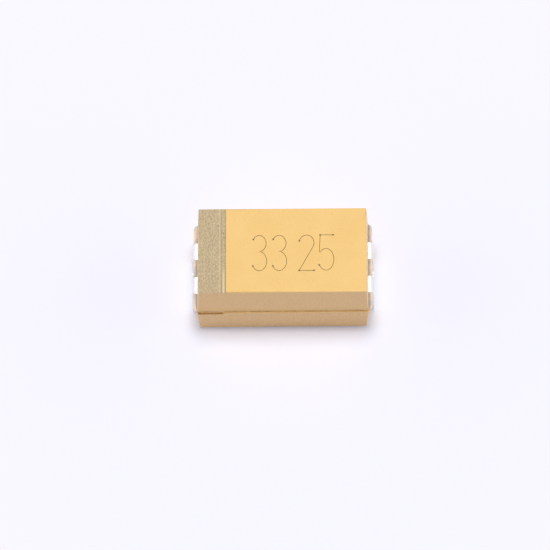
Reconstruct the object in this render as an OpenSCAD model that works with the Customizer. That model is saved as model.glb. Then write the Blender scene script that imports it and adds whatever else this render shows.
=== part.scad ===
// Moulded tantalum chip capacitor, surface mount, 7343 case size.
// X runs along the length with the anode at -X, Z is up, and the origin is the
// middle of the seating plane that the two terminal feet rest on. Millimetres.

/* [Case] */
// Length of the moulded case over its parting line
case_length = 6.94; // [6.8:0.01:7.0]
// Width of the moulded case over its parting line
case_width = 4.2; // [4.0:0.05:4.5]
// Height of the top face above the seating plane
top_height = 2.7; // [2.6:0.05:3.1]
// Height of the parting line, where the leads come out, above the seating plane
parting_height = 1.36; // [1.3:0.01:1.42]
// Draft of the walls above the parting line, in degrees
upper_draft = 3; // [2:0.5:6]
// Draft of the walls below the parting line, in degrees
lower_draft = 5; // [2:0.5:7]
// How far the lower half stands out past the upper half at the parting line
parting_step = 0.02; // [0.01:0.005:0.05]
// Radius of the upright corners
corner_radius = 0.06; // [0.05:0.01:0.15]
// Radius round the top face
top_edge_radius = 0.03; // [0.02:0.01:0.05]
// Radius round the base
base_edge_radius = 0.04; // [0.02:0.01:0.05]

/* [Mould marks] */
// How far the flash lip at each end stands out past the parting line
lip_reach = 0.15; // [0.08:0.01:0.16]
// Distance from the end of each lip to the corner of the case
lip_inset = 0.05; // [0.03:0.01:0.3]
// Length over which each lip fades out towards the corner
lip_fade = 0.35; // [0.2:0.05:0.7]
// Length of the scar where the gate was broken off
gate_length = 1.0; // [0.8:0.05:1.6]
// Height of the gate scar, down from the parting line
gate_height = 0.14; // [0.08:0.01:0.2]
// Depth of the gate scar
gate_depth = 0.07; // [0.04:0.01:0.1]
// Distance from the anode end of the case to the gate scar
gate_offset = 0.06; // [0.04:0.01:0.4]
// Length of the chip in the cathode end's top edge
chip_length = 0.24; // [0.1:0.02:0.4]
// Depth of the chip
chip_depth = 0.05; // [0.02:0.01:0.08]
// Distance from the back of the case to the middle of the chip
chip_offset = 0.44; // [0.3:0.02:0.8]

/* [Polarity band] */
// Width of the band that a laser cuts in the top face to mark the anode end
band_width = 1.1; // [0.8:0.05:1.5]
// Depth of the band
band_depth = 0.015; // [0.01:0.005:0.03]

/* [Terminals] */
// Length over both terminals
overall_length = 7.3; // [7.25:0.01:7.5]
// Width of each terminal
terminal_width = 2.4; // [2.2:0.05:2.6]
// Thickness of the lead frame strip
lead_thickness = 0.1; // [0.08:0.01:0.12]
// Inner radius of every bend in the strip
bend_radius = 0.06; // [0.04:0.01:0.06]
// Length of each foot under the case
foot_length = 1.3; // [1.0:0.05:1.6]
// Width of the window that parts each terminal into two legs
window_width = 0.82; // [0.6:0.02:1.0]
// Height of the window's sill above the seating plane
window_sill = 0.45; // [0.35:0.05:0.7]
// How far the window reaches into the case, where resin locks it
window_reach = 0.3; // [0.2:0.05:0.4]
// Radius in the window's corners
window_radius = 0.1; // [0.05:0.01:0.2]
// Width of the anode tab inside the case
anode_tab_width = 1.4; // [1.2:0.1:1.9]
// How far the terminal keeps its full width inside the case
anode_shoulder = 0.45; // [0.42:0.01:0.55]
// Length of the cathode tab under the element
cathode_tab_length = 2.2; // [1.5:0.1:3.0]

/* [Element] */
// Length of the sintered pellet
pellet_length = 4.2; // [3.6:0.1:4.3]
// Width of the pellet
pellet_width = 3.1; // [2.8:0.1:3.3]
// Height of the pellet
pellet_height = 1.45; // [1.2:0.05:1.55]
// Radius on the pellet's long edges
pellet_radius = 0.15; // [0.1:0.01:0.3]
// Distance from the anode end of the case to the pellet
anode_space = 1.55; // [1.45:0.05:1.65]
// Thickness of the manganese dioxide coat
manganese_thickness = 0.04; // [0.02:0.01:0.06]
// Thickness of the graphite coat
graphite_thickness = 0.02; // [0.01:0.01:0.04]
// Thickness of the silver coat
silver_thickness = 0.04; // [0.02:0.01:0.06]
// How far short of the wire end the graphite coat stops
graphite_setback = 0.2; // [0.1:0.05:0.3]
// How far short of the wire end the silver coat stops
silver_setback = 0.4; // [0.35:0.05:0.6]
// Thickness of the conductive adhesive
adhesive_thickness = 0.05; // [0.03:0.01:0.07]
// Height of the adhesive up the end of the element
adhesive_rise = 0.35; // [0.2:0.05:0.45]

/* [Wire] */
// Diameter of the tantalum wire
wire_diameter = 0.24; // [0.18:0.02:0.3]
// Length of wire buried in the pellet
wire_embedded = 2.7; // [2.0:0.1:3.0]
// Length of wire that stands out of the pellet
wire_reach = 1.0; // [0.9:0.05:1.05]
// Depth to which the weld sinks the wire into the anode tab
weld_sink = 0.03; // [0.02:0.01:0.04]
// Diameter of the insulating washer
washer_diameter = 0.8; // [0.6:0.05:1.0]
// Thickness of the insulating washer
washer_thickness = 0.12; // [0.08:0.01:0.16]
// Gap between the washer and the end of the anode tab
tab_gap = 0.15; // [0.1:0.01:0.2]

/* [Hidden] */

resin_yellow = [0.93, 0.62, 0.24];
tin_plate = [0.84, 0.84, 0.85];
tantalum_grey = [0.32, 0.34, 0.38];
washer_white = [0.93, 0.93, 0.90];
manganese_black = [0.10, 0.09, 0.10];
graphite_grey = [0.20, 0.20, 0.21];
silver_paint = [0.72, 0.71, 0.68];
adhesive_grey = [0.60, 0.60, 0.60];

arc_steps = 8;      // flats in a quarter turn of a bend or a rounded edge
round_fn = 64;      // a true cylinder wherever the wire and washer need one
corner_fn = 32;
cut_margin = 0.5;   // how far a cutting tool runs past what it cuts
seam = 0.001;       // thickness of the slice that starts a tapered half

case_end = case_length / 2;
case_base = lead_thickness;         // the feet hold the case clear of the board
lead_top = parting_height + lead_thickness / 2;
lead_bottom = parting_height - lead_thickness / 2;
leg_width = (terminal_width - window_width) / 2;
leg_centre = (window_width + leg_width) / 2;
leg_x = overall_length / 2 - lead_thickness / 2;
foot_z = lead_thickness / 2;

wire_radius = wire_diameter / 2;
wire_z = lead_top + wire_radius - weld_sink;
pellet_start = -case_end + anode_space;
pellet_end = pellet_start + pellet_length;
coat_1 = manganese_thickness;
coat_2 = coat_1 + graphite_thickness;
coat_3 = coat_2 + silver_thickness;
coated_start = pellet_start - coat_1;
element_end = pellet_end + coat_3;
element_bottom = wire_z - pellet_height / 2 - coat_3;

riser_face = element_end + adhesive_thickness;
cradle_top = element_bottom - adhesive_thickness;
cathode_tab_tip = riser_face - cathode_tab_length;
anode_tab_tip = coated_start - washer_thickness - tab_gap;

// Points along a quarter turn about a centre, from one unit direction to another
function quarter(centre, radius, from, to) = [
    for (i = [0:arc_steps])
        let (a = 90 * i / arc_steps)
        centre + radius * (from * cos(a) + to * sin(a))
];

// Outline of a rectangle with rounded corners, centred on the origin
function rounded_outline(length, width, radius) =
    let (x = length / 2 - radius, y = width / 2 - radius)
    concat(
        quarter([x, y], radius, [1, 0], [0, 1]),
        quarter([-x, y], radius, [0, 1], [-1, 0]),
        quarter([-x, -y], radius, [-1, 0], [0, -1]),
        quarter([x, -y], radius, [0, -1], [1, 0])
    );

function heading(path, i) = (path[i + 1] - path[i]) / norm(path[i + 1] - path[i]);
function left_of(d) = [-d[1], d[0]];

// One side of a strip that follows a path with square bends, at a distance to its left
function strip_side(path, offset) =
    let (last = len(path) - 1, bend = bend_radius + lead_thickness / 2)
    concat(
        [path[0] + offset * left_of(heading(path, 0))],
        [
            for (i = [1:last - 1])
                let (
                    d1 = heading(path, i - 1),
                    d2 = heading(path, i),
                    turn = d1[0] * d2[1] - d1[1] * d2[0],
                    centre = path[i] + bend * (d2 - d1)
                )
                each quarter(centre, bend - offset * turn, -d2, d1)
        ],
        [path[last] + offset * left_of(heading(path, last - 1))]
    );

function reversed(points) = [for (i = [len(points) - 1:-1:0]) points[i]];

// Outline of a strip of lead frame bent along a path in the XZ plane
function strip_outline(path) = concat(
    strip_side(path, lead_thickness / 2),
    reversed(strip_side(path, -lead_thickness / 2))
);

// Bends shared by both terminals: out at the parting line, down the end, under the base
outer_path = [
    [leg_x, parting_height],
    [leg_x, foot_z],
    [overall_length / 2 - foot_length, foot_z],
];
anode_path = concat([[-anode_tab_tip, parting_height]], outer_path);
cathode_path = concat(
    [
        [cathode_tab_tip, cradle_top - lead_thickness / 2],
        [riser_face + lead_thickness / 2, cradle_top - lead_thickness / 2],
        [riser_face + lead_thickness / 2, parting_height],
    ],
    outer_path
);

// Stands an XZ outline up and gives it a width along Y
module along_y(width) {
    rotate([90, 0, 0]) linear_extrude(width, center = true) children();
}

// Stands a YZ outline up and gives it a length along X
module along_x(length) {
    rotate([90, 0, 90]) linear_extrude(length) children();
}

// One tapered half of the case, upright corners and far rim rounded
module case_half(length, width, height, draft, rim_radius) {
    rise = height - rim_radius;
    inset = rise * tan(draft);
    rim = concat([[0, 0]], quarter([corner_radius - rim_radius, 0], rim_radius, [1, 0], [0, 1]),
        [[0, rim_radius]]);
    hull() {
        for (sx = [-1, 1], sy = [-1, 1]) {
            x = length / 2 - corner_radius;
            y = width / 2 - corner_radius;
            translate([sx * x, sy * y, 0]) cylinder(r = corner_radius, h = seam, $fn = corner_fn);
            translate([sx * (x - inset), sy * (y - inset), rise])
                rotate_extrude($fn = corner_fn) polygon(rim);
        }
    }
}

module case_blank() {
    translate([0, 0, parting_height])
        case_half(case_length - 2 * parting_step, case_width - 2 * parting_step,
            top_height - parting_height, upper_draft, top_edge_radius);
    translate([0, 0, parting_height]) mirror([0, 0, 1])
        case_half(case_length, case_width, parting_height - case_base, lower_draft,
            base_edge_radius);
}

// Flash left at one end of the parting line, beside and between the two legs
module flash_lip() {
    half = case_width / 2 - lip_inset;
    fade = [
        for (i = [0:arc_steps])
            let (a = 90 * i / arc_steps)
            [case_end + lip_reach * sin(a), half - lip_fade * (1 - cos(a))]
    ];
    root = case_end - parting_step - corner_radius;
    difference() {
        translate([0, 0, lead_bottom]) linear_extrude(lead_thickness)
            polygon(concat([[root, half]], fade, [for (p = reversed(fade)) [p[0], -p[1]]],
                [[root, -half]]));
        for (side = [-1, 1])
            translate([case_end, side * leg_centre - leg_width / 2, lead_bottom - cut_margin])
                cube([lip_reach + cut_margin, leg_width, lead_thickness + 2 * cut_margin]);
    }
}

// Notch in the front wall of the lower half, where the gate was broken off
module gate_scar() {
    front = -case_width / 2;
    translate([-case_end + gate_offset, 0, 0]) along_x(gate_length)
        polygon([
            [front - cut_margin, parting_height],
            [front + gate_depth, parting_height],
            [front + gate_depth * 0.8, parting_height - gate_height],
            [front - cut_margin, parting_height - gate_height],
        ]);
}

// Bite out of the top edge of the cathode end
module edge_chip() {
    top_end = case_end - parting_step - (top_height - parting_height) * tan(upper_draft);
    translate([top_end, case_width / 2 - chip_offset, top_height]) rotate([0, 45, 0])
        cube([chip_depth * sqrt(2), chip_length, chip_depth * sqrt(2)], center = true);
}

// Shallow step in the top face at the anode end
module polarity_band() {
    left = -case_end + parting_step + (top_height - parting_height) * tan(upper_draft);
    translate([left + band_width - case_length, -case_width / 2, top_height - band_depth])
        cube([case_length, case_width, band_depth + cut_margin]);
}

module coated_block(start, end, coat) {
    translate([start, 0, wire_z]) along_x(end - start)
        polygon(rounded_outline(pellet_width + 2 * coat, pellet_height + 2 * coat,
            pellet_radius + coat));
}

module pellet_block() {
    coated_block(pellet_start, pellet_end, 0);
}

module manganese_block() {
    coated_block(coated_start, pellet_end + coat_1, coat_1);
}

module graphite_block() {
    coated_block(coated_start + graphite_setback, pellet_end + coat_2, coat_2);
}

module silver_block() {
    coated_block(coated_start + silver_setback, element_end, coat_3);
}

module wire_rod() {
    translate([pellet_start - wire_reach, 0, wire_z]) rotate([0, 90, 0])
        cylinder(r = wire_radius, h = wire_reach + wire_embedded, $fn = round_fn);
}

module washer_disc() {
    translate([coated_start - washer_thickness, 0, wire_z]) rotate([0, 90, 0])
        cylinder(d = washer_diameter, h = washer_thickness, $fn = round_fn);
}

// Window punched through the leg, its sill corners rounded
module leg_window() {
    reach = parting_height + cut_margin - window_sill;
    translate([leg_x - lead_thickness / 2 - bend_radius, 0, window_sill + reach / 2])
        along_x(lead_thickness + bend_radius + cut_margin)
            polygon(rounded_outline(window_width, reach, window_radius));
}

// The same window where the strip runs level, its inner corners rounded
module lead_window() {
    inner = case_end - window_reach;
    reach = overall_length / 2 + cut_margin - inner;
    translate([inner + reach / 2, 0, parting_height - bend_radius - lead_thickness])
        linear_extrude(2 * lead_thickness + 2 * bend_radius)
            polygon(rounded_outline(reach, window_width, window_radius));
}

// A bent strip with its window, made for the +X end
module terminal_strip(path) {
    difference() {
        along_y(terminal_width) polygon(strip_outline(path));
        leg_window();
        lead_window();
    }
}

module anode_terminal() {
    tab_start = case_end - anode_shoulder;
    trim = (terminal_width - anode_tab_width) / 2;
    color(tin_plate) difference() {
        mirror([1, 0, 0]) difference() {
            terminal_strip(anode_path);
            for (side = [-1, 1])
                translate([tab_start - case_length, side * (anode_tab_width + trim + cut_margin) / 2
                    - (trim + cut_margin) / 2, lead_bottom - cut_margin])
                    cube([case_length, trim + cut_margin, lead_thickness + 2 * cut_margin]);
        }
        wire_rod();
    }
}

module cathode_terminal() {
    color(tin_plate) terminal_strip(cathode_path);
}

// Conductive adhesive in the angle of the cathode cradle, under and behind the element
module silver_adhesive() {
    bend = quarter([riser_face - bend_radius, cradle_top + bend_radius], bend_radius,
        [0, -1], [1, 0]);
    color(adhesive_grey) along_y(terminal_width)
        polygon(concat(
            [[cathode_tab_tip, element_bottom], [cathode_tab_tip, cradle_top]],
            bend,
            [
                [riser_face, element_bottom + adhesive_rise],
                [element_end, element_bottom + adhesive_rise],
                [element_end, element_bottom],
            ]
        ));
}

module tantalum_pellet() {
    color(tantalum_grey) difference() {
        pellet_block();
        wire_rod();
    }
}

module tantalum_wire() {
    color(tantalum_grey) wire_rod();
}

module insulating_washer() {
    color(washer_white) difference() {
        washer_disc();
        wire_rod();
    }
}

module manganese_dioxide_coat() {
    color(manganese_black) difference() {
        manganese_block();
        pellet_block();
        wire_rod();
    }
}

module graphite_coat() {
    color(graphite_grey) difference() {
        graphite_block();
        manganese_block();
    }
}

module silver_coat() {
    color(silver_paint) difference() {
        silver_block();
        graphite_block();
    }
}

// Resin moulded round the lead frame and the finished element in one shot
module moulded_case() {
    color(resin_yellow) difference() {
        union() {
            case_blank();
            flash_lip();
            mirror([1, 0, 0]) flash_lip();
        }
        polarity_band();
        gate_scar();
        edge_chip();
        anode_terminal();
        cathode_terminal();
        silver_adhesive();
        silver_block();
        graphite_block();
        manganese_block();
        washer_disc();
        wire_rod();
    }
}

moulded_case();
anode_terminal();
cathode_terminal();
tantalum_pellet();
tantalum_wire();
insulating_washer();
manganese_dioxide_coat();
graphite_coat();
silver_coat();
silver_adhesive();
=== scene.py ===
"""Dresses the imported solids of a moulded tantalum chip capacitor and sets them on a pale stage."""

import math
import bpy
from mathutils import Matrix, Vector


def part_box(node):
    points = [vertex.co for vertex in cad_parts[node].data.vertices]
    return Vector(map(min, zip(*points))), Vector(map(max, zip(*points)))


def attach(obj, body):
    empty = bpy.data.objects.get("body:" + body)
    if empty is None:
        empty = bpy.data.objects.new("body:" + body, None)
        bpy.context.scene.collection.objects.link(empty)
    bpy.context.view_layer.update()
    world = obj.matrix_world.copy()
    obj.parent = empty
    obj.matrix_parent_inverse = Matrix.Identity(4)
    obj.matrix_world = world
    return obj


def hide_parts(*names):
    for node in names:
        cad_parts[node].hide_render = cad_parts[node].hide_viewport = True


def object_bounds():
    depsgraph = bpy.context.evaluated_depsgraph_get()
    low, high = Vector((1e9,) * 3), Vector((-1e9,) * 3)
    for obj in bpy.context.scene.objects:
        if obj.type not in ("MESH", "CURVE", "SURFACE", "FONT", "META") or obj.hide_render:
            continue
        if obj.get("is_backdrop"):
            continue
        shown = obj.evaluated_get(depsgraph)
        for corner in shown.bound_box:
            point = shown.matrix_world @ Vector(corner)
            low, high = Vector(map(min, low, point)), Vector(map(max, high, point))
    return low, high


bl_info = {
    "name": "Tantalum chip capacitor",
    "version": (1, 0, 0),
    "blender": (4, 5, 0),
    "location": "3D View > Sidebar > Capacitor",
    "description": "Adds the moulded case, the terminals, the inner element and a small pale stage",
    "category": "Add Mesh",
}

import bmesh
import bpy
from bpy.props import FloatProperty, FloatVectorProperty, IntProperty, PointerProperty, StringProperty
from bpy.types import Operator, Panel, PropertyGroup
from mathutils import Matrix, Vector

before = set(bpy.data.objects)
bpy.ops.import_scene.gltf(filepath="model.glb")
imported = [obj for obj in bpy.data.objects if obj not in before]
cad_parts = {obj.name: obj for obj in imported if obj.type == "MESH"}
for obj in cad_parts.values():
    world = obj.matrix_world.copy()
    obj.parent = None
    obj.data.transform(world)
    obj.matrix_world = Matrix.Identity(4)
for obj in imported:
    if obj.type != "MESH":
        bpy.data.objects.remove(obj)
cad_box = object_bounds()

WORK = 1000.0  # meshes are cut and bevelled in millimetres, where the solver is at its best
BODY = "root"
CASE = "moulded_case"
TERMINALS = {"anode_terminal": "anode_lead", "cathode_terminal": "cathode_lead"}
HAIR = 0.004  # millimetres that keep a tool's faces clear of the faces that it cuts
# Crumbs broken out of the parting line: place along the gate scar in its lengths, and width in millimetres
CRUMBS = ((1.1, 0.07), (6.36, 0.05), (6.62, 0.06))
DRAWN = (1.0, 0.35, 1.0)  # the beam runs across the case, so what it burns is drawn out along Y
FLAT_SHADED = ("end_flash", "torn_flash", "broken_epoxy")

# Rows of plain finishes, in metres where they are lengths: material, light colour, dark colour,
# roughness, size of the clouds, size of the grain, depth of the bump, share of metal, stretch
CASE_FINISHES = {
    "stroke": ("lasered_stroke", "stroke", "scorch_and_shade", 0.6, 0.0001, 0.00003, 0.000002),
    # Painted shade: the faces of the parting groove are dark.
    "grime_and_shade": ("grimy_epoxy", "grime_and_shade", "broken", 0.7, 0.0003, 0.00003, 0.000002),
    "ridge": ("side_flash", "resin", "wall", 0.35, 0.0002, 0.00003, 0.000001),
    "torn": ("torn_flash", "flash", "torn", 0.6, 0.0001, 0.00002, 0.000003),
    "flash": ("end_flash", "flash", "torn", 0.5, 0.0004, 0.00003, 0.000002),
    "broken": ("broken_epoxy", "broken", "amber", 0.7, 0.00008, 0.00002, 0.000004),
}
ELEMENT_FINISHES = {
    "tantalum_pellet": ("sintered_powder", "pellet", "manganese", 0.75, 0.0001, 0.00002, 0.000006, 0.6),
    "tantalum_wire": (
        "drawn_tantalum", "tantalum", "pellet", 0.3, 0.0004, 0.00002, 0.000001, 1.0, (0.05, 1.0, 1.0)
    ),
    "insulating_washer": ("fluoropolymer", "washer", "silver", 0.4, 0.0003, 0.00004, 0.0000008),
    "manganese_dioxide_coat": ("fired_oxide", "manganese", "graphite", 0.85, 0.0001, 0.00002, 0.000006),
    "graphite_coat": ("carbon_paint", "graphite", "manganese", 0.6, 0.0003, 0.00003, 0.000002),
    "silver_coat": ("silver_paint", "silver", "adhesive", 0.5, 0.0003, 0.00002, 0.000002, 0.8),
    "silver_adhesive": ("silver_epoxy", "adhesive", "silver", 0.55, 0.0002, 0.00003, 0.000003, 0.5),
}


# -------- property makers


def length(name, description, default):
    return FloatProperty(
        name=name, description=description, default=default, min=0.0, unit="LENGTH", precision=6
    )


def place(name, description, default):
    return FloatProperty(
        name=name, description=description, default=default, unit="LENGTH", precision=6
    )


def colour(name, description, default):
    return FloatVectorProperty(
        name=name, description=description, default=(*default, 1.0), size=4, min=0.0, max=1.0,
        subtype="COLOR",
    )


def factor(name, description, default):
    return FloatProperty(
        name=name, description=description, default=default, min=0.0, max=1.0, subtype="FACTOR"
    )


def angle(name, description, degrees):
    return FloatProperty(
        name=name, description=description, default=math.radians(degrees), subtype="ANGLE"
    )


# -------- measures of the solids


def extent(node, low, high):
    """Largest X and Y that a node's vertices reach between two heights."""
    points = [v.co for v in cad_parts[node].data.vertices if low <= v.co.z <= high]
    return max(abs(p.x) for p in points), max(abs(p.y) for p in points)


def case_measures():
    """Heights and half sizes of the case in metres, read from its solid."""
    low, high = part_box(CASE)
    strip = low.z  # the feet hold the case up by the thickness of the strip
    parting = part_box("anode_terminal")[1].z - strip / 2
    hair = strip / 1000
    vertices = [v.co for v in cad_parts[CASE].data.vertices]
    band_edge = min(p.x for p in vertices if p.z > high.z - hair)
    step = [p.z for p in vertices if abs(p.x - band_edge) < hair and p.z > high.z - strip / 2]
    top_x, top_y = extent(CASE, high.z - strip * 0.4, high.z)
    ledge_x, ledge_y = extent(CASE, parting - hair, parting + hair)
    return {
        "top": high.z,
        "strip": strip,
        "parting": parting,
        "lip_end": high.x,
        "top_x": top_x,
        "top_y": top_y,
        "band_edge": band_edge,
        "band_floor": min(step),
        "ledge_x": ledge_x,
        "ledge_y": ledge_y,
    }


# -------- settings


class CaseSettings(PropertyGroup):
    resin: colour("Resin", "Moulded epoxy", (0.92, 0.59, 0.185))
    resin_shade: colour("Resin shade", "Darker clouds in the epoxy", (0.89, 0.56, 0.165))
    # Near the parting line this colour is painted shade; it is also the darker tone of the broken resin.
    amber: colour("Amber", "Deeper tone of the walls near the parting line", (0.85, 0.52, 0.13))
    # This colour darkens the pinholes as dirt, and is painted shade in the parting groove, along the
    # parting line and on the lower half.
    grime_and_shade: colour("Grime", "Dirt caught under the parting line and in pinholes", (0.50, 0.29, 0.09))
    # The wall colour is painted sheen: it stands in for the pale surroundings reflected in the faces below
    # the top.
    wall: colour("Wall resin", "Paler epoxy where the part slid out of its mould", (0.90, 0.575, 0.24))
    lasered: colour("Lasered resin", "Resin that the laser has turned", (0.66, 0.505, 0.275))
    bleached: colour("Bleached resin", "Palest lines of the lasered resin", (0.82, 0.63, 0.34))
    # This colour is also the painted shade of the band's low step, drawn as a dark line.
    scorch_and_shade: colour("Scorched resin", "Darkest spots of the lasered resin", (0.30, 0.22, 0.11))
    flash: colour("Flash", "Thin resin that ran between the mould halves", (0.92, 0.73, 0.52))
    torn: colour("Torn flash", "Torn edge of the flash, where fillers show", (0.70, 0.60, 0.48))
    broken: colour("Broken resin", "Rough resin in the gate scar and the chip", (0.88, 0.62, 0.32))
    stroke: colour("Marking", "Resin in the lasered marking", (0.36, 0.21, 0.07))
    hatch_width: length("Hatch width", "Width of the hatched part of the band", 0.00084)
    hatch_pitch: length("Hatch pitch", "Distance between the laser's tracks", 0.00006)
    hatch_depth: length("Hatch depth", "Depth of the tracks below the band's step", 0.000004)
    blotch_depth: length("Blotch depth", "Depth of the uneven burn", 0.000005)
    line_place: length("Line place", "Distance from the anode edge to the dark line", 0.000936)
    line_width: length("Line width", "Width of the dark lines of the band", 0.000035)
    mark_height: length("Mark height", "Height of the digits", 0.0017)
    digit_width: length("Digit width", "Width of one digit", 0.0006)
    digit_gap: length("Digit gap", "Gap between digits", 0.0002)
    word_gap: length("Word gap", "Gap between the two numbers", 0.0005)
    mark_x: place("Mark X", "Middle of the marking along the case", 0.00042)
    mark_y: place("Mark Y", "Middle of the marking across the case", -0.00013)
    stroke_width: length("Stroke width", "Width of a lasered stroke", 0.000066)
    stroke_depth: length("Stroke depth", "Depth of a lasered stroke", 0.000012)
    digits: StringProperty(
        name="Digits", description="Two plain numbers of the digits 2, 3 and 5", default="33 25"
    )
    tear: length("Tear", "How far the edge of the end flash is nibbled", 0.00003)
    flash_reach: length("Flash reach", "How far the side flash stands out", 0.000035)
    flash_height: length("Flash height", "Thickness of the side flash", 0.00002)
    groove_depth: length("Groove depth", "Depth of the groove over the side flash", 0.000022)
    groove_height: length("Groove height", "Height of the groove over the side flash", 0.00005)
    gate_offset: length("Gate offset", "From the anode end to the gate scar", 0.00006)
    gate_length: length("Gate length", "Length of the gate scar", 0.001)
    gate_height: length("Gate height", "Height of the gate scar", 0.00014)
    gate_depth: length("Gate depth", "Depth of the gate scar", 0.00007)
    chip_length: length("Chip length", "Length of the chip in the cathode edge", 0.00024)
    chip_depth: length("Chip depth", "Depth of the chip", 0.00005)
    chip_offset: length("Chip offset", "From the back to the middle of the chip", 0.00044)
    seed: IntProperty(name="Seed", description="Seed of the scars and burns", default=7, min=0)


class TerminalSettings(PropertyGroup):
    tin: colour("Tin", "Matte tin plate", (0.95, 0.93, 0.91))
    tin_shade: colour("Tin shade", "Duller patches of the plate", (0.80, 0.78, 0.76))
    bare: colour("Bare strip", "Sheared end of a foot, where the strip's alloy shows", (0.50, 0.36, 0.24))
    edge: length("Edge", "Rounding of the stamped edges", 0.000008)


class ElementSettings(PropertyGroup):
    tantalum: colour("Tantalum", "Drawn tantalum wire", (0.30, 0.32, 0.36))
    pellet: colour("Pellet", "Sintered tantalum powder", (0.16, 0.17, 0.20))
    washer: colour("Washer", "White fluoropolymer", (0.82, 0.82, 0.78))
    manganese: colour("Manganese dioxide", "Fired black oxide", (0.022, 0.020, 0.022))
    graphite: colour("Graphite", "Dipped carbon paint", (0.055, 0.055, 0.060))
    silver: colour("Silver", "Dipped silver paint", (0.52, 0.51, 0.48))
    adhesive: colour("Adhesive", "Silver-filled adhesive", (0.40, 0.40, 0.39))


class StageSettings(PropertyGroup):
    azimuth: angle("Azimuth", "Camera's turn round the part", 1.23)
    elevation: angle("Elevation", "Camera's height above the horizon", 56.85)
    roll: angle("Roll", "Camera's roll", -1.51)
    distance: length("Distance", "From the camera to the part", 0.3647)
    aim_height: length("Aim height", "Height that the camera looks at", 0.0014)
    lens: FloatProperty(name="Lens", description="Focal length in millimetres", default=592.3, min=1.0)
    shift_x: FloatProperty(name="Shift X", description="Sideways shift of the picture", default=-0.01435)
    shift_y: FloatProperty(name="Shift Y", description="Upward shift of the picture", default=-0.01295)
    paper: colour("Paper", "Floor and backdrop", (0.955, 0.945, 1.0))
    lamp_power: FloatProperty(name="Lamp power", description="Power of the lamp in watts", default=0.66)
    lamp_size: length("Lamp size", "Diameter of the overhead lamp", 0.16)
    lamp_height: length("Lamp height", "Height of the overhead lamp", 0.3)
    lamp_back: length("Lamp setback", "How far behind the part the lamp hangs", 0.03)
    fill: factor("Fill", "Strength of the light from all round", 0.39)
    fill_tint: colour("Fill tint", "Colour of the light from all round", (0.75, 0.78, 1.0))
    ends: factor("Ends", "How much of that light comes from past the two ends", 0.75)
    lift: factor("Shadow lift", "How much of the floor's own glow shows in the shadow", 0.24)
    near: length("Near", "Radius of the floor that shows the part's shadow", 0.008)
    far: length("Far", "Radius past which the floor shows as plain paper", 0.02)


# -------- node helpers


def add(tree, kind, inputs=None, **settings):
    """Adds a node. An input's value is another node's output socket or a constant."""
    made = tree.nodes.new(kind)
    for name, value in settings.items():
        setattr(made, name, value)
    for key, value in (inputs or {}).items():
        if isinstance(value, bpy.types.NodeSocket):
            tree.links.new(value, made.inputs[key])
        else:
            made.inputs[key].default_value = value
    return made


def put(tree, kind, inputs=None, **settings):
    """Adds a node and gives its first output."""
    return add(tree, kind, inputs, **settings).outputs[0]


def maths(tree, operation, *values):
    made = add(tree, "ShaderNodeMath", dict(enumerate(values)), operation=operation)
    return made.outputs[0]


def times(tree, first, second):
    return maths(tree, "MULTIPLY", first, second)


def axes_of(tree, vector):
    return add(tree, "ShaderNodeSeparateXYZ", {0: vector}).outputs


def xyz(tree, **axes):
    return add(tree, "ShaderNodeCombineXYZ", axes).outputs[0]


def seeded_noise(tree, given, vector, scale, detail, roughness=0.5):
    """The outputs of a noise whose fourth coordinate is the tree's seed."""
    inputs = {"Vector": vector, "W": given["Seed"], "Scale": scale, "Detail": detail}
    inputs["Roughness"] = roughness
    return add(tree, "ShaderNodeTexNoise", inputs, noise_dimensions="4D").outputs


def emptied(owner):
    """The node tree of a material or a world, without its nodes."""
    owner.use_nodes = True
    owner.node_tree.nodes.clear()
    return owner.node_tree


def new_tree(name, kind, inputs, outputs):
    """A node group with its sockets, each given as name, socket type and default."""
    tree = bpy.data.node_groups.new(name, kind)
    for in_out, sockets in (("INPUT", inputs), ("OUTPUT", outputs)):
        for label, socket_type, *default in sockets:
            socket = tree.interface.new_socket(label, in_out=in_out, socket_type=socket_type)
            if default:
                socket.default_value = default[0]
    return tree, tree.nodes.new("NodeGroupInput").outputs, tree.nodes.new("NodeGroupOutput").inputs


FLOAT, INT, VECTOR = "NodeSocketFloat", "NodeSocketInt", "NodeSocketVector"
GEOMETRY, MATERIAL = "NodeSocketGeometry", "NodeSocketMaterial"


def shape_tree(name, *inputs):
    """A geometry tree that also takes a material."""
    sockets = [*inputs, ("Material", MATERIAL)]
    return new_tree(name, "GeometryNodeTree", sockets, [("Geometry", GEOMETRY)])


# -------- shader groups


def clouds_group():
    """Two sizes of noise: a mask of soft clouds, and the height of a fine grain."""
    tree, given, out = new_tree(
        "Clouds and Grain", "ShaderNodeTree",
        [("Vector", VECTOR), ("Cloud Size", FLOAT, 0.001), ("Grain Size", FLOAT, 0.00003)],
        [("Clouds", FLOAT), ("Grain", FLOAT)],
    )
    for label, size, detail in (("Clouds", "Cloud Size", 4.0), ("Grain", "Grain Size", 2.0)):
        scale = maths(tree, "DIVIDE", 1.0, given[size])
        texture = add(
            tree, "ShaderNodeTexNoise", {"Vector": given["Vector"], "Scale": scale, "Detail": detail}
        )
        tree.links.new(texture.outputs["Fac"], out[label])
    return tree


def specks_group():
    """Mask of sparse round specks."""
    tree, given, out = new_tree(
        "Specks", "ShaderNodeTree",
        [("Vector", VECTOR), ("Spacing", FLOAT, 0.0003), ("Radius", FLOAT, 0.15), ("Share", FLOAT, 0.3)],
        [("Mask", FLOAT)],
    )
    scale = maths(tree, "DIVIDE", 1.0, given["Spacing"])
    cells = add(tree, "ShaderNodeTexVoronoi", {"Vector": given["Vector"], "Scale": scale})
    near = maths(tree, "LESS_THAN", cells.outputs["Distance"], given["Radius"])
    picked = add(tree, "ShaderNodeSeparateColor", {"Color": cells.outputs["Color"]})
    chosen = maths(tree, "LESS_THAN", picked.outputs[0], given["Share"])
    tree.links.new(times(tree, near, chosen), out["Mask"])
    return tree


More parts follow.
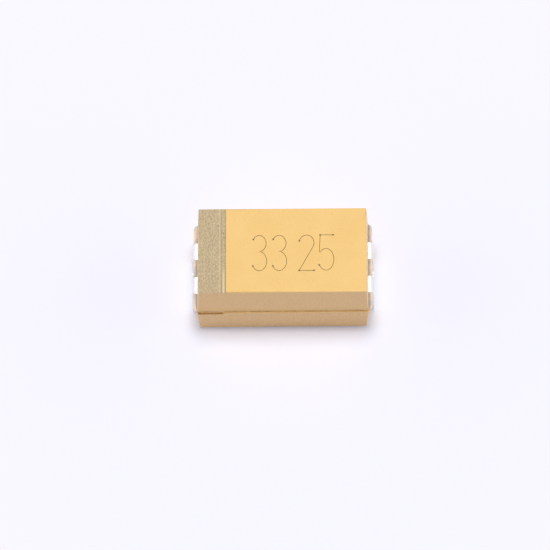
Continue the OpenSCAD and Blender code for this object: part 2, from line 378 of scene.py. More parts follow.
def line_group():
    """Mask of one straight line across a coordinate, with soft sides."""
    tree, given, out = new_tree(
        "Line", "ShaderNodeTree",
        [("Coordinate", FLOAT), ("Centre", FLOAT), ("Width", FLOAT, 0.00004), ("Softness", FLOAT, 0.00001)],
        [("Mask", FLOAT)],
    )
    off = maths(tree, "ABSOLUTE", maths(tree, "SUBTRACT", given["Coordinate"], given["Centre"]))
    half = maths(tree, "DIVIDE", given["Width"], 2.0)
    past = maths(tree, "DIVIDE", maths(tree, "SUBTRACT", off, half), given["Softness"])
    tree.links.new(spread(tree, past, 1.0, 0.0, -0.5, 0.5), out["Mask"])
    return tree


def group(tree, name, maker, **inputs):
    """Places a shared group, which is built when it is first asked for."""
    shared = bpy.data.node_groups.get(name) or maker()
    made = add(tree, "ShaderNodeGroup", node_tree=shared)
    for key, value in inputs.items():
        socket = made.inputs[key.replace("_", " ").title()]
        if isinstance(value, bpy.types.NodeSocket):
            tree.links.new(value, socket)
        else:
            socket.default_value = value
    return made.outputs


def clouds(tree, vector, cloud_size, grain_size):
    return group(
        tree, "Clouds and Grain", clouds_group, vector=vector, cloud_size=cloud_size,
        grain_size=grain_size,
    )


def specks(tree, vector, spacing, radius, share):
    return group(
        tree, "Specks", specks_group, vector=vector, spacing=spacing, radius=radius, share=share
    )["Mask"]


def line(tree, coordinate, centre, width, softness=0.00001):
    return group(
        tree, "Line", line_group, coordinate=coordinate, centre=centre, width=width,
        softness=softness,
    )["Mask"]


def mix(tree, share, first, second):
    made = add(tree, "ShaderNodeMix", data_type="RGBA")
    for socket, value in zip((made.inputs[0], made.inputs[6], made.inputs[7]), (share, first, second)):
        if isinstance(value, bpy.types.NodeSocket):
            tree.links.new(value, socket)
        else:
            socket.default_value = value
    return made.outputs[2]


def tint(tree, mask, strength, under, over):
    """Lays one colour over another where a mask lies, at a given strength."""
    return mix(tree, times(tree, mask, strength), under, over)


def spread(tree, value, low, high, from_low=0.35, from_high=0.65):
    """Maps the middle of a noise onto a range."""
    made = add(
        tree, "ShaderNodeMapRange",
        {"Value": value, "From Min": from_low, "From Max": from_high, "To Min": low, "To Max": high},
    )
    return made.outputs[0]


# -------- materials


def new_material(name, stretch=None):
    """A material with its tree, its shader and the object's own coordinates."""
    material = bpy.data.materials.new(name)
    tree = emptied(material)
    shader = add(tree, "ShaderNodeBsdfPrincipled")
    out = add(tree, "ShaderNodeOutputMaterial")
    tree.links.new(shader.outputs[0], out.inputs[0])
    where = add(tree, "ShaderNodeTexCoord").outputs["Object"]
    if stretch:
        where = put(tree, "ShaderNodeMapping", {"Vector": where, "Scale": stretch})
    return material, tree, shader, where


def finish_surface(tree, shader, colour_socket, roughness, height, depth):
    """Joins colour, roughness and a bump of a real depth to the shader."""
    tree.links.new(colour_socket, shader.inputs["Base Color"])
    if isinstance(roughness, bpy.types.NodeSocket):
        tree.links.new(roughness, shader.inputs["Roughness"])
    else:
        shader.inputs["Roughness"].default_value = roughness
    bump = add(tree, "ShaderNodeBump", {"Strength": 1.0, "Distance": depth, "Height": height})
    tree.links.new(bump.outputs[0], shader.inputs["Normal"])


def resin_material(settings, measures):
    """Moulded epoxy with soft clouds and dark specks, painted sheen on the paler walls, and painted shade
    along the parting line and on the lower half.
    """
    material, tree, shader, where = new_material("moulded_epoxy")
    noises = clouds(tree, where, cloud_size=0.0012, grain_size=0.000035)
    body = mix(tree, spread(tree, noises["Clouds"], 0.0, 1.0), settings.resin, settings.resin_shade)
    height = axes_of(tree, where)["Z"]
    strip, parting = measures["strip"], measures["parting"]
    # Painted sheen: every face below the top takes the paler wall colour.
    walls = maths(tree, "LESS_THAN", height, measures["top"] - strip * 0.2)
    body = tint(tree, walls, 0.85, body, settings.wall)
    dark = specks(tree, where, spacing=0.00028, radius=0.1, share=0.12)
    body = tint(tree, dark, 0.3, body, settings.grime_and_shade)
    # Painted shade: a soft, deeper band just above the parting line.
    parting_shade = line(tree, height, centre=parting + strip, width=strip, softness=strip * 4)
    body = tint(tree, parting_shade, 0.9, body, settings.amber)
    # Painted shade: a narrow dark line for the shade of the parting groove.
    seam = line(tree, height, centre=parting + strip * 0.7, width=strip * 0.7, softness=strip * 0.8)
    body = tint(tree, seam, 0.3, body, settings.grime_and_shade)
    # Painted shade: the lower half, whose walls face slightly down, is darker.
    below = maths(tree, "LESS_THAN", height, parting)
    body = tint(tree, below, 0.16, body, settings.grime_and_shade)
    roughness = spread(tree, noises["Grain"], 0.24, 0.34)
    finish_surface(tree, shader, body, roughness, noises["Grain"], depth=0.0000008)
    shader.inputs["IOR"].default_value = 1.58  # filled epoxy
    return material


def lasered_material(settings, measures):
    """Resin of the polarity band: hatched tracks, blotches, a bright seam and two dark lines, the one at
    the band's step being painted shade.
    """
    material, tree, shader, where = new_material("lasered_epoxy")
    axes = axes_of(tree, where)
    drawn = put(tree, "ShaderNodeMapping", {"Vector": where, "Scale": DRAWN})
    noises = clouds(tree, drawn, cloud_size=0.00022, grain_size=0.00004)
    turns = times(tree, axes["X"], 2 * math.pi / settings.hatch_pitch)
    stripes = maths(tree, "MULTIPLY_ADD", maths(tree, "SINE", turns), 0.1, 0.1)
    mottle = spread(tree, noises["Grain"], -0.08, 0.58, 0.34, 0.66)
    patches = spread(tree, noises["Clouds"], -0.08, 0.12)
    burn = maths(tree, "ADD", maths(tree, "ADD", stripes, mottle), patches)
    body = mix(tree, burn, settings.lasered, settings.scorch_and_shade)
    edge, width = -measures["top_x"], settings.line_width
    lighter = line(tree, axes["X"], edge + settings.hatch_width + width / 2, width)
    body = tint(tree, lighter, 0.45, body, settings.bleached)
    # The lines are broken at the back, and solid with a pale strip between them at the front
    coarse = clouds(tree, where, cloud_size=0.00012, grain_size=0.00012)
    breaks = spread(tree, coarse["Grain"], 0.25, 1.0)
    reach = -measures["top_y"]
    front = spread(tree, axes["Y"], 0.0, 1.0, from_low=reach * 0.35, from_high=reach * 0.6)
    middle = (edge + settings.line_place + measures["band_edge"]) / 2
    strip = line(tree, axes["X"], middle, width * 2.4, softness=width)
    pale = times(tree, front, 0.8)
    body = tint(tree, strip, pale, body, settings.bleached)
    solid = maths(tree, "MAXIMUM", breaks, front)
    # The line at the band's step edge is painted shade of the step's low wall.
    for centre, strength in ((edge + settings.line_place, 0.75), (measures["band_edge"], 0.9)):
        dark = line(tree, axes["X"], centre, width, softness=0.00002)
        body = tint(tree, times(tree, dark, solid), strength, body, settings.scorch_and_shade)
    finish_surface(tree, shader, body, 0.55, noises["Grain"], depth=0.000003)
    return material


def plain_material(
    name, light, dark, roughness, cloud_size, grain_size, depth, metallic=0.0, stretch=None
):
    """A surface of two close colours with a grain."""
    material, tree, shader, where = new_material(name, stretch)
    noises = clouds(tree, where, cloud_size, grain_size)
    body = mix(tree, spread(tree, noises["Clouds"], 0.0, 1.0), light, dark)
    rough = spread(tree, noises["Grain"], roughness - 0.06, roughness + 0.06)
    finish_surface(tree, shader, body, rough, noises["Grain"], depth)
    shader.inputs["Metallic"].default_value = metallic
    return material


def tin_material(settings, foot_end):
    """Matte tin over rolled strip, with the bare alloy at the sheared ends of the feet."""
    material, tree, shader, where = new_material("matte_tin")
    noises = clouds(tree, where, cloud_size=0.00015, grain_size=0.000012)
    body = mix(tree, spread(tree, noises["Clouds"], 0.0, 0.6), settings.tin, settings.tin_shade)
    rolled = put(tree, "ShaderNodeMapping", {"Vector": where, "Scale": (1.0, 30.0, 1.0)})
    lines = clouds(tree, rolled, cloud_size=0.0015, grain_size=0.0006)["Grain"]
    body = mix(tree, spread(tree, lines, 0.0, 0.5), body, settings.tin_shade)
    axes = axes_of(tree, where)
    sheared = maths(tree, "LESS_THAN", maths(tree, "ABSOLUTE", axes["X"]), foot_end)
    body = mix(tree, sheared, body, settings.bare)
    roughness = spread(tree, noises["Grain"], 0.32, 0.46)
    finish_surface(tree, shader, body, roughness, noises["Grain"], depth=0.0000006)
    shader.inputs["Metallic"].default_value = 1.0
    return material


def finishes(settings, table):
    """Materials from the rows of a table, under the table's keys."""
    return {
        key: plain_material(name, getattr(settings, light), getattr(settings, dark), *numbers)
        for key, (name, light, dark, *numbers) in table.items()
    }


# -------- geometry trees


def burn_tree():
    """A closed block whose underside is the relief that a hatching laser leaves."""
    tree, given, out = shape_tree(
        "Laser Burn",
        ("Length", FLOAT, 1.1), ("Width", FLOAT, 4.0), ("Columns", INT, 90), ("Rows", INT, 90),
        ("Pitch", FLOAT, 0.06), ("Track Depth", FLOAT, 0.004), ("Blotch Depth", FLOAT, 0.005),
        ("Height", FLOAT, 0.1), ("Seed", INT, 7),
    )
    grid = add(
        tree, "GeometryNodeMeshGrid",
        {
            "Size X": given["Length"], "Size Y": given["Width"],
            "Vertices X": given["Columns"], "Vertices Y": given["Rows"],
        },
    ).outputs["Mesh"]
    where = put(tree, "GeometryNodeInputPosition")
    x = axes_of(tree, where)["X"]
    turns = times(tree, maths(tree, "DIVIDE", x, given["Pitch"]), 2 * math.pi)
    tracks = maths(tree, "MULTIPLY_ADD", maths(tree, "COSINE", turns), 0.5, 0.5)
    drawn = put(tree, "ShaderNodeVectorMath", {0: where, 1: DRAWN}, operation="MULTIPLY")
    blotches = seeded_noise(tree, given, drawn, scale=12.0, detail=5.0)[0]
    deep = maths(
        tree, "ADD", times(tree, tracks, given["Track Depth"]),
        times(tree, blotches, given["Blotch Depth"]),
    )
    drop = xyz(tree, Z=times(tree, deep, -1.0))
    relief = put(tree, "GeometryNodeSetPosition", {"Geometry": grid, "Offset": drop})
    close_block(tree, relief, given["Height"], given["Material"], out)
    return tree


def close_block(tree, sheet, height, material, out):
    """Raises a sheet into a closed block that keeps the sheet as its underside."""
    up = xyz(tree, Z=1.0)
    raised = put(
        tree, "GeometryNodeExtrudeMesh",
        {"Mesh": sheet, "Offset": up, "Offset Scale": height, "Individual": False}, mode="FACES",
    )
    turned = put(tree, "GeometryNodeFlipFaces", {"Mesh": sheet})
    joined = add(tree, "GeometryNodeJoinGeometry")
    tree.links.new(raised, joined.inputs[0])
    tree.links.new(turned, joined.inputs[0])
    welded = put(
        tree, "GeometryNodeMergeByDistance", {"Geometry": joined.outputs[0], "Distance": 0.00001}
    )
    finish_tree(tree, welded, material, out)


def finish_tree(tree, geometry, material, out):
    real = put(tree, "GeometryNodeRealizeInstances", {"Geometry": geometry})
    coated = put(tree, "GeometryNodeSetMaterial", {"Geometry": real, "Material": material})
    tree.links.new(coated, out["Geometry"])


def ragged_tree():
    """A strip along X whose +Y edge wanders outwards, for flash and for what is torn from it."""
    tree, given, out = shape_tree(
        "Ragged Strip",
        ("Length", FLOAT, 6.8), ("Depth", FLOAT, 0.1), ("Height", FLOAT, 0.02),
        ("Wander", FLOAT, 0.02), ("Grain", FLOAT, 0.2), ("Columns", INT, 240),
        ("Seed", INT, 7),
    )
    grid = add(
        tree, "GeometryNodeMeshGrid",
        {
            "Size X": given["Length"], "Size Y": given["Depth"],
            "Vertices X": given["Columns"], "Vertices Y": 2,
        },
    ).outputs["Mesh"]
    where = put(tree, "GeometryNodeInputPosition")
    outer = maths(tree, "GREATER_THAN", axes_of(tree, where)["Y"], 0.0)
    scale = maths(tree, "DIVIDE", 1.0, given["Grain"])
    wave = seeded_noise(tree, given, where, scale, detail=5.0, roughness=0.6)[0]
    share = times(tree, spread(tree, wave, 0.0, 1.0), outer)
    push = times(tree, share, given["Wander"])
    offset = xyz(tree, Y=push)
    wandering = put(tree, "GeometryNodeSetPosition", {"Geometry": grid, "Offset": offset})
    close_block(tree, wandering, given["Height"], given["Material"], out)
    return tree


def stroke_tree():
    """A shallow round-bottomed cut along each curve, with the deeper dot of a resting beam at its ends."""
    tree, given, out = shape_tree(
        "Laser Stroke",
        ("Geometry", GEOMETRY), ("Width", FLOAT, 0.055), ("Depth", FLOAT, 0.012),
        ("Dot", FLOAT, 1.3),
    )
    radius = times(tree, given["Width"], 0.5)
    squash = maths(tree, "DIVIDE", given["Depth"], radius)
    curves = put(tree, "GeometryNodeMeshToCurve", {"Mesh": given["Geometry"]})
    upright = put(tree, "GeometryNodeSetCurveNormal", {"Curve": curves}, mode="Z_UP")
    ring = put(tree, "GeometryNodeCurvePrimitiveCircle", {"Resolution": 12, "Radius": radius})
    flat = xyz(tree, X=squash, Y=1.0, Z=1.0)
    profile = put(tree, "GeometryNodeTransform", {"Geometry": ring, "Scale": flat})
    groove = put(
        tree, "GeometryNodeCurveToMesh", {"Curve": upright, "Profile Curve": profile, "Fill Caps": True}
    )
    ball = put(
        tree, "GeometryNodeMeshUVSphere",
        {"Segments": 16, "Rings": 8, "Radius": times(tree, radius, given["Dot"])},
    )
    ends = put(tree, "GeometryNodeCurveEndpointSelection", {"Start Size": 1, "End Size": 1})
    low = xyz(tree, X=1.0, Y=1.0, Z=times(tree, squash, 1.2))
    dots = put(
        tree, "GeometryNodeInstanceOnPoints",
        {"Points": curves, "Selection": ends, "Instance": ball, "Scale": low},
    )
    joined = add(tree, "GeometryNodeJoinGeometry")
    tree.links.new(groove, joined.inputs[0])
    tree.links.new(dots, joined.inputs[0])
    finish_tree(tree, joined.outputs[0], given["Material"], out)
    return tree


def rough_tree():
    """A block with broken, uneven faces, for cutting scars."""
    tree, given, out = shape_tree(
        "Rough Block",
        ("Size", VECTOR), ("Cell", FLOAT, 0.015), ("Roughness", FLOAT, 0.018), ("Grain", FLOAT, 0.07),
        ("Seed", INT, 7),
    )
    sides = axes_of(tree, given["Size"])
    counts = [
        maths(tree, "MAXIMUM", maths(tree, "ROUND", maths(tree, "DIVIDE", sides[axis], given["Cell"])), 3.0)
        for axis in "XYZ"
    ]
    block = put(
        tree, "GeometryNodeMeshCube",
        {"Size": given["Size"], "Vertices X": counts[0], "Vertices Y": counts[1], "Vertices Z": counts[2]},
    )
    where = put(tree, "GeometryNodeInputPosition")
    scale = maths(tree, "DIVIDE", 1.0, given["Grain"])
    bumps = seeded_noise(tree, given, where, scale, detail=2.0)["Color"]
    middle = (0.5, 0.5, 0.5)
    centred = put(tree, "ShaderNodeVectorMath", {0: bumps, 1: middle}, operation="SUBTRACT")
    # The noise mostly stays within a quarter of its middle, so four times it reaches the roughness
    reach = times(tree, given["Roughness"], 4.0)
    offset = put(tree, "ShaderNodeVectorMath", {0: centred, "Scale": reach}, operation="SCALE")
    rough = put(tree, "GeometryNodeSetPosition", {"Geometry": block, "Offset": offset})
    finish_tree(tree, rough, given["Material"], out)
    return tree


# -------- mesh helpers


def add_object(name, data):
    piece = bpy.data.objects.new(name, data)
    bpy.context.scene.collection.objects.link(piece)
    return piece


def bake(piece):
    """Turns the piece with its modifiers into a plain mesh."""
    bpy.context.view_layer.update()
    graph = bpy.context.evaluated_depsgraph_get()
    mesh = bpy.data.meshes.new_from_object(piece.evaluated_get(graph), depsgraph=graph)
    piece.modifiers.clear()
    piece.data = mesh
    return piece


def grow(name, tree_name, maker, mesh=None, **inputs):
    """Runs a geometry tree on a mesh and bakes the result. Inputs are named like its sockets."""
    tree = bpy.data.node_groups.get(tree_name) or maker()
    piece = add_object(name, mesh or bpy.data.meshes.new(name))
    modifier = piece.modifiers.new(tree_name, "NODES")
    modifier.node_group = tree
    for item in tree.interface.items_tree:
        key = item.name.lower().replace(" ", "_")
        if item.item_type == "SOCKET" and item.in_out == "INPUT" and key in inputs:
            modifier[item.identifier] = inputs[key]
    piece.update_tag()
    return bake(piece)


def rework(mesh, *changes):
    """Makes changes to a mesh while it is open in bmesh."""
    work = bmesh.new()
    work.from_mesh(mesh)
    for change in changes:
        change(work)
    work.to_mesh(mesh)
    work.free()


def working_copy(node, name):
    """A welded copy of a solid's mesh, in millimetres."""
    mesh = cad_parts[node].data.copy()
    rework(mesh, lambda work: bmesh.ops.remove_doubles(work, verts=work.verts, dist=1e-7))
    mesh.transform(Matrix.Scale(WORK, 4))
    mesh.materials.clear()
    return add_object(name, mesh)


def combine(piece, tool, operation="DIFFERENCE"):
    """Cuts a tool out of the piece or joins it on. The tool's faces keep their own material."""
    before = len(piece.data.polygons)
    modifier = piece.modifiers.new("combine", "BOOLEAN")
    modifier.operation = operation
    modifier.solver = "EXACT"
    modifier.use_self = "strokes" in tool.name  # the strokes cross their own dots
    modifier.material_mode = "TRANSFER"
    modifier.object = tool
    bake(piece)
    if len(piece.data.polygons) < before / 2:
        raise RuntimeError(f"{tool.name} lost the faces of {piece.name}")
    mesh = tool.data
    bpy.data.objects.remove(tool)
    bpy.data.meshes.remove(mesh)


def join_flat(work, degrees, delimit=frozenset()):
    """Joins neighbouring faces that lie within an angle of each other."""
    bmesh.ops.dissolve_limit(
        work, angle_limit=math.radians(degrees), verts=work.verts, edges=work.edges,
        delimit=set(delimit),
    )


def tidy_faces(piece):
    """Joins the slivers that cutting leaves in flat faces."""
    rework(
        piece.data,
        lambda work: bmesh.ops.dissolve_degenerate(work, edges=work.edges, dist=HAIR / 20),
        lambda work: join_flat(work, 0.1, {"MATERIAL"}),
    )


def smooth(piece, limit=30.0, flat=()):
    """Smooth shading with sharp edges kept, weighted to the larger faces. Flat materials stay flat."""
    piece.data.shade_smooth()
    names = [slot.name for slot in piece.data.materials]
    for face in piece.data.polygons:
        face.use_smooth = names[face.material_index] not in flat
    piece.data.set_sharp_from_angle(angle=math.radians(limit))
    modifier = piece.modifiers.new("weights", "WEIGHTED_NORMAL")
    modifier.keep_sharp = True
    modifier.weight = 100
    bake(piece)


def settle(piece, slot, *nodes):
    """Returns a finished piece to metres and gives it its place in the frame."""
    piece.data.transform(Matrix.Scale(1 / WORK, 4))
    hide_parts(*nodes)
    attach(piece, BODY)


# -------- the case


def arc(centre, radii, start, end, steps=12):
    """Points along an ellipse, from one angle to another in degrees."""
    points = []
    for i in range(steps + 1):
        a = math.radians(start + (end - start) * i / steps)
        points.append((centre[0] + radii[0] * math.cos(a), centre[1] + radii[1] * math.sin(a)))
    return points


def digit_strokes(digit):
    """One digit as a list of strokes in a box one wide and one high."""
    round_x, round_y = 0.5, 0.22
    upper = (0.5, 1 - round_y)
    shapes = {
        "2": [arc(upper, (round_x, round_y), 165, -25) + [(0.0, 0.0)], [(0.0, 0.0), (1.0, 0.0)]],
        "3": [arc((0.5, 0.77), (0.46, 0.23), 150, -90) + arc((0.5, 0.27), (0.5, 0.27), 90, -150)[1:]],
        "5": [
            [(0.95, 1.0), (0.08, 1.0)],
            [(0.08, 1.0), (0.03, 0.53)] + arc((0.47, 0.31), (0.53, 0.31), 140, -150),
        ],
    }
    return shapes[digit]


def marking_mesh(settings, top):
    """All the marking's strokes as chains of edges on the top face."""
    mesh = bpy.data.meshes.new("marking_lines")
    width, height = settings.digit_width * WORK, settings.mark_height * WORK
    gap, word_gap = settings.digit_gap * WORK, settings.word_gap * WORK
    numbers = settings.digits.split()
    count = sum(len(number) for number in numbers)
    whole = count * width + (count - len(numbers)) * gap + (len(numbers) - 1) * word_gap
    pen = settings.mark_x * WORK - whole / 2
    foot = settings.mark_y * WORK - height / 2
    points, edges = [], []
    for number in numbers:
        for digit in number:
            for stroke in digit_strokes(digit):
                first = len(points)
                points += [(pen + width * x, foot + height * y, top) for x, y in stroke]
                edges += [(k, k + 1) for k in range(first, len(points) - 1)]
            pen += width + gap
        pen += word_gap - gap
    mesh.from_pydata(points, edges, [])
    return mesh


def turned(piece, place_at, degrees=0.0, axis="Z"):
    """Turns a tool about the origin and then moves it."""
    turn = Matrix.Rotation(math.radians(degrees), 4, axis)
    piece.data.transform(Matrix.Translation(place_at) @ turn)
    return piece


def ragged_strip(name, material, seed, **sizes):
    return grow(name, "Ragged Strip", ragged_tree, seed=seed, material=material, **sizes)


def rough_block(name, material, seed, size, place_at, degrees=0.0):
    """A rough block, turned about Y."""
    block = grow(name, "Rough Block", rough_tree, size=size, seed=seed, material=material)
    return turned(block, place_at, degrees, "Y")


def flash_tools(settings, mm, materials):
    """The groove and the ridge of flash along both long sides of the parting line."""
    run, depth = 2 * (mm["ledge_x"] - mm["strip"]), mm["strip"]
    inner = mm["ledge_y"] - settings.groove_depth * WORK
    thickness = settings.flash_height * WORK
    for side, degrees in ((-1, 180), (1, 0)):
        # The groove's faces are painted dark, as painted shade along the parting line.
        groove = ragged_strip(
            "groove_tool", materials["grime_and_shade"], settings.seed + side, length=run, depth=depth,
            height=settings.groove_height * WORK, wander=settings.groove_depth * WORK / 2, grain=0.25,
        )
        place_at = (0.0, side * (inner + depth / 2), mm["parting"] + HAIR)
        yield turned(groove, place_at, degrees + 180), "DIFFERENCE"
        ridge = ragged_strip(
            "ridge_tool", materials["ridge"], settings.seed + 4 * side, length=run, depth=depth,
            height=thickness, wander=settings.flash_reach * WORK, grain=0.3,
        )
        drop = mm["parting"] + 2 * HAIR - thickness
        place_at = (0.0, side * (mm["ledge_y"] + HAIR - depth / 2), drop)
        yield turned(ridge, place_at, degrees), "UNION"


def lip_tools(settings, mm, materials):
    """What is torn away from the free edges of the end flash."""
    clear = 4 * mm["strip"]  # depth and height, well past the lip
    for side, degrees in ((1, 90), (-1, -90)):
        torn = ragged_strip(
            "lip_tool", materials["torn"], settings.seed + 10 * side, length=2.2 * mm["ledge_y"],
            depth=clear, height=clear, wander=settings.tear * WORK, grain=0.22,
        )
        place_at = (side * (mm["lip_end"] + clear / 2), 0.0, mm["parting"] - clear / 2)
        yield turned(torn, place_at, degrees), "DIFFERENCE"


def burn_tools(settings, mm, materials):
    """The polarity band's relief and the strokes of the marking."""
    margin = mm["strip"]
    left = -mm["top_x"] - margin
    right = mm["band_edge"] + settings.line_width * WORK / 4
    burn = grow(
        "band_tool", "Laser Burn", burn_tree,
        length=right - left, width=2 * (mm["top_y"] + margin), columns=110, rows=110,
        pitch=settings.hatch_pitch * WORK, track_depth=settings.hatch_depth * WORK,
        blotch_depth=settings.blotch_depth * WORK, height=margin, seed=settings.seed,
        material=materials["lasered"],
    )
    yield turned(burn, ((left + right) / 2, 0.0, mm["band_floor"] - HAIR / 2)), "DIFFERENCE"
    strokes = grow(
        "strokes_tool", "Laser Stroke", stroke_tree, marking_mesh(settings, mm["top"]),
        width=settings.stroke_width * WORK, depth=settings.stroke_depth * WORK,
        material=materials["stroke"],
    )
    yield strokes, "DIFFERENCE"


def scar_tools(settings, mm, materials):
    """The broken gate, the crumbs torn out beside it, and the chip in the cathode edge."""
    skin = 3 * HAIR
    broken, seed = materials["broken"], settings.seed
    run, height = settings.gate_length * WORK, settings.gate_height * WORK
    deep = settings.gate_depth * WORK
    start = -mm["ledge_x"] + settings.gate_offset * WORK
    size = (run + 2 * skin, 2 * (deep + skin), height + 2 * skin)
    place_at = (start + run / 2, -mm["ledge_y"], mm["parting"] - height / 2)
    yield rough_block("rough_gate", broken, seed, size, place_at), "DIFFERENCE"
    for along, width in CRUMBS:
        size = (width, 0.8 * width, 0.7 * width)
        place_at = (start + run * along, -mm["ledge_y"], mm["parting"] - width / 4)
        yield rough_block("rough_crumb", broken, seed, size, place_at), "DIFFERENCE"
    bite = 2 * settings.chip_depth * WORK
    size = (bite, settings.chip_length * WORK + 2 * skin, bite)
    place_at = (mm["top_x"], mm["ledge_y"] - settings.chip_offset * WORK, mm["top"])
    yield rough_block("rough_chip", broken, seed, size, place_at, 45), "DIFFERENCE"


def flash_faces(piece, measures, material):
    """Gives the thin lips past the end walls their own material."""
    piece.data.materials.append(material)
    index = len(piece.data.materials) - 1
    middle = measures["parting"] * WORK
    reach = measures["strip"] * WORK * 0.51  # a little over half of the lips' thickness
    wall = measures["ledge_x"] * WORK + HAIR / 2
    for face in piece.data.polygons:
        if abs(face.center.x) > wall and abs(face.center.z - middle) < reach:
            face.material_index = index


def case_materials(settings, measures):
    """Materials of the surfaces that the tools leave on the case."""
    return {"lasered": lasered_material(settings, measures), **finishes(settings, CASE_FINISHES)}


class CAPACITOR_OT_case(Operator):
    """Adds the moulded case with its polarity band, marking, flash and scars"""

    bl_idname = "capacitor.add_case"
    bl_label = "Moulded Case"

    def execute(self, context):
        settings = context.scene.capacitor_case
        measures = case_measures()
        millimetres = {key: value * WORK for key, value in measures.items()}
        materials = case_materials(settings, measures)
        case = working_copy(CASE, "case_body")
        case.data.materials.append(resin_material(settings, measures))
        for tools in (flash_tools, lip_tools, burn_tools, scar_tools):
            for tool, operation in tools(settings, millimetres, materials):
                combine(case, tool, operation)
        flash_faces(case, measures, materials["flash"])
        tidy_faces(case)
        smooth(case, flat=FLAT_SHADED)
        settle(case, "epoxy_resin", CASE)
        return {"FINISHED"}


# -------- the terminals


class CAPACITOR_OT_terminals(Operator):
    """Adds the two folded terminals with rounded stamped edges"""

    bl_idname = "capacitor.add_terminals"
    bl_label = "Terminals"

    def execute(self, context):
        settings = context.scene.capacitor_terminals
        for node, name in TERMINALS.items():
            foot = [abs(v.co.x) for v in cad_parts[node].data.vertices if v.co.z < HAIR / WORK]
            tin = tin_material(settings, min(foot) + HAIR / WORK)
            lead = working_copy(node, name)
            lead.data.materials.append(tin)
            rework(lead.data, lambda work: join_flat(work, 0.5))
            bevel = lead.modifiers.new("edges", "BEVEL")
            bevel.width = settings.edge * WORK
            bevel.segments = 2
            bevel.limit_method = "ANGLE"
            bevel.angle_limit = math.radians(40)
            bake(lead)
            smooth(lead)
            settle(lead, "tinned_strip", node)
        return {"FINISHED"}


# -------- the element


class CAPACITOR_OT_element(Operator):
    """Gives the pellet, its wire, washer, coats and adhesive their finishes"""

    bl_idname = "capacitor.dress_element"
    bl_label = "Inner Element"

    def execute(self, context):
        made = finishes(context.scene.capacitor_element, ELEMENT_FINISHES)
        for node, material in made.items():
            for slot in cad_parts[node].material_slots:
                slot.material = material
        return {"FINISHED"}


# -------- the stage


def to_camera_or_mirror(tree):
    """1 for rays that show the backdrop itself or its reflection, 0 for rays that carry light."""
    path = add(tree, "ShaderNodeLightPath").outputs
    seen = maths(tree, "MAXIMUM", path["Is Camera Ray"], path["Is Glossy Ray"])
    return maths(tree, "MAXIMUM", seen, path["Is Transmission Ray"])


def floor_material(settings):
    """Pale paper: near the part it shows the part's shadow, farther off it is plain backdrop."""
    material = bpy.data.materials.new("paper_floor")
    tree = emptied(material)
    where = add(tree, "ShaderNodeTexCoord").outputs["Object"]
    away = add(tree, "ShaderNodeVectorMath", {0: where}, operation="LENGTH").outputs["Value"]
    plain = put(
        tree, "ShaderNodeMapRange",
        {
            "Value": away, "From Min": settings.near, "From Max": settings.far,
            "To Min": settings.lift, "To Max": 1.0,
        },
        interpolation_type="SMOOTHSTEP",
    )
    matte = put(tree, "ShaderNodeBsdfDiffuse", {"Color": settings.paper})
    glow = put(tree, "ShaderNodeEmission", {"Color": settings.paper, "Strength": 1.0})
    share = times(tree, to_camera_or_mirror(tree), plain)
    both = put(tree, "ShaderNodeMixShader", {0: share, 1: matte, 2: glow})
    out = add(tree, "ShaderNodeOutputMaterial")
    tree.links.new(both, out.inputs[0])
    return material


def stage_world(settings):
    world = bpy.data.worlds.new("soft_studio")
    bpy.context.scene.world = world
    tree = emptied(world)
    incoming = add(tree, "ShaderNodeNewGeometry").outputs["Incoming"]
    along = axes_of(tree, incoming)["X"]
    narrow, even = 4.0, 8.0  # a sky of this power of X lights the floor an eighth as much as an even one
    boxes = times(tree, maths(tree, "POWER", maths(tree, "ABSOLUTE", along), narrow), even)
    share = maths(tree, "MULTIPLY_ADD", boxes, settings.ends, 1.0 - settings.ends)
    strength = times(tree, share, settings.fill)
    dim = add(tree, "ShaderNodeBackground", {"Color": settings.fill_tint, "Strength": strength})
    pale = add(tree, "ShaderNodeBackground", {"Color": settings.paper, "Strength": 1.0})
    both = add(
        tree, "ShaderNodeMixShader",
        {0: to_camera_or_mirror(tree), 1: dim.outputs[0], 2: pale.outputs[0]},
    )
    out = add(tree, "ShaderNodeOutputWorld")
    tree.links.new(both.outputs[0], out.inputs[0])


def add_lamp(settings):
    data = bpy.data.lights.new("overhead", "AREA")
    data.shape = "DISK"
    data.size = settings.lamp_size
    data.energy = settings.lamp_power
    lamp = add_object("overhead", data)
    lamp.location = hung = Vector((0.0, settings.lamp_back, settings.lamp_height))
    lamp.rotation_euler = (-hung).to_track_quat("-Z", "Y").to_euler()


def add_camera(settings):
    data = bpy.data.cameras.new("camera")
    data.lens = settings.lens
    data.sensor_width = 36.0
    data.shift_x = settings.shift_x
    data.shift_y = settings.shift_y
    data.clip_start = settings.distance / 100
    data.clip_end = settings.distance * 100
    camera = add_object("camera", data)
    turn, rise = settings.azimuth, settings.elevation
    back = Vector((math.sin(turn) * math.cos(rise), -math.cos(turn) * math.cos(rise), math.sin(rise)))
    camera.location = Vector((0.0, 0.0, settings.aim_height)) + back * settings.distance
    camera.rotation_mode = "QUATERNION"
    level = (-back).to_track_quat("-Z", "Y")
    camera.rotation_quaternion = level @ Matrix.Rotation(settings.roll, 3, "Z").to_quaternion()
    bpy.context.scene.camera = camera


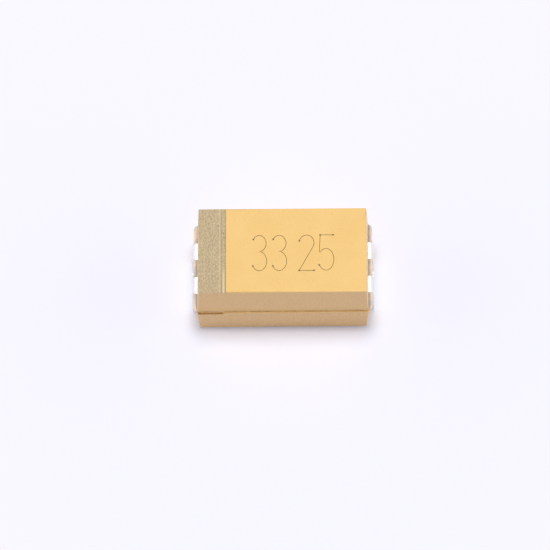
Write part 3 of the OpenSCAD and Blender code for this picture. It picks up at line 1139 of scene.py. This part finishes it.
class CAPACITOR_OT_stage(Operator):
    """Adds the pale floor, the soft lamp and the camera"""

    bl_idname = "capacitor.add_stage"
    bl_label = "Pale Stage"

    def execute(self, context):
        settings = context.scene.capacitor_stage
        bpy.context.scene.view_settings.view_transform = "Standard"
        stage_world(settings)
        mesh = bpy.data.meshes.new("floor")
        work = bmesh.new()
        bmesh.ops.create_circle(work, cap_ends=True, segments=64, radius=1.0)
        work.to_mesh(mesh)
        work.free()
        mesh.materials.append(floor_material(settings))
        floor = add_object("floor", mesh)
        floor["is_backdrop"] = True
        add_lamp(settings)
        add_camera(settings)
        return {"FINISHED"}


# -------- the add-on


class CAPACITOR_PT_panel(Panel):
    """Lists the parts of the capacitor and its stage"""

    bl_label = "Tantalum Capacitor"
    bl_space_type = "VIEW_3D"
    bl_region_type = "UI"
    bl_category = "Capacitor"

    def draw(self, context):
        layout = self.layout
        for operator, group_name in OPERATORS:
            layout.operator(operator.bl_idname)
            settings = getattr(context.scene, group_name)
            for name in settings.__annotations__:
                layout.prop(settings, name)


SETTINGS = {
    "capacitor_case": CaseSettings,
    "capacitor_terminals": TerminalSettings,
    "capacitor_element": ElementSettings,
    "capacitor_stage": StageSettings,
}
OPERATORS = (
    (CAPACITOR_OT_stage, "capacitor_stage"),
    (CAPACITOR_OT_case, "capacitor_case"),
    (CAPACITOR_OT_terminals, "capacitor_terminals"),
    (CAPACITOR_OT_element, "capacitor_element"),
)


def register():
    for settings in SETTINGS.values():
        bpy.utils.register_class(settings)
    for operator, _ in OPERATORS:
        bpy.utils.register_class(operator)
    bpy.utils.register_class(CAPACITOR_PT_panel)
    for name, settings in SETTINGS.items():
        setattr(bpy.types.Scene, name, PointerProperty(type=settings))


def unregister():
    for name in SETTINGS:
        delattr(bpy.types.Scene, name)
    bpy.utils.unregister_class(CAPACITOR_PT_panel)
    for operator, _ in OPERATORS:
        bpy.utils.unregister_class(operator)
    for settings in SETTINGS.values():
        bpy.utils.unregister_class(settings)


def main():
    register()
    bpy.ops.capacitor.add_stage()
    bpy.ops.capacitor.add_case()
    bpy.ops.capacitor.add_terminals()
    bpy.ops.capacitor.dress_element()
    boxes = {"cad": cad_box, "visual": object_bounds()}
    {name: [list(low), list(high)] for name, (low, high) in boxes.items()}


if __name__ == "__main__":
    main()
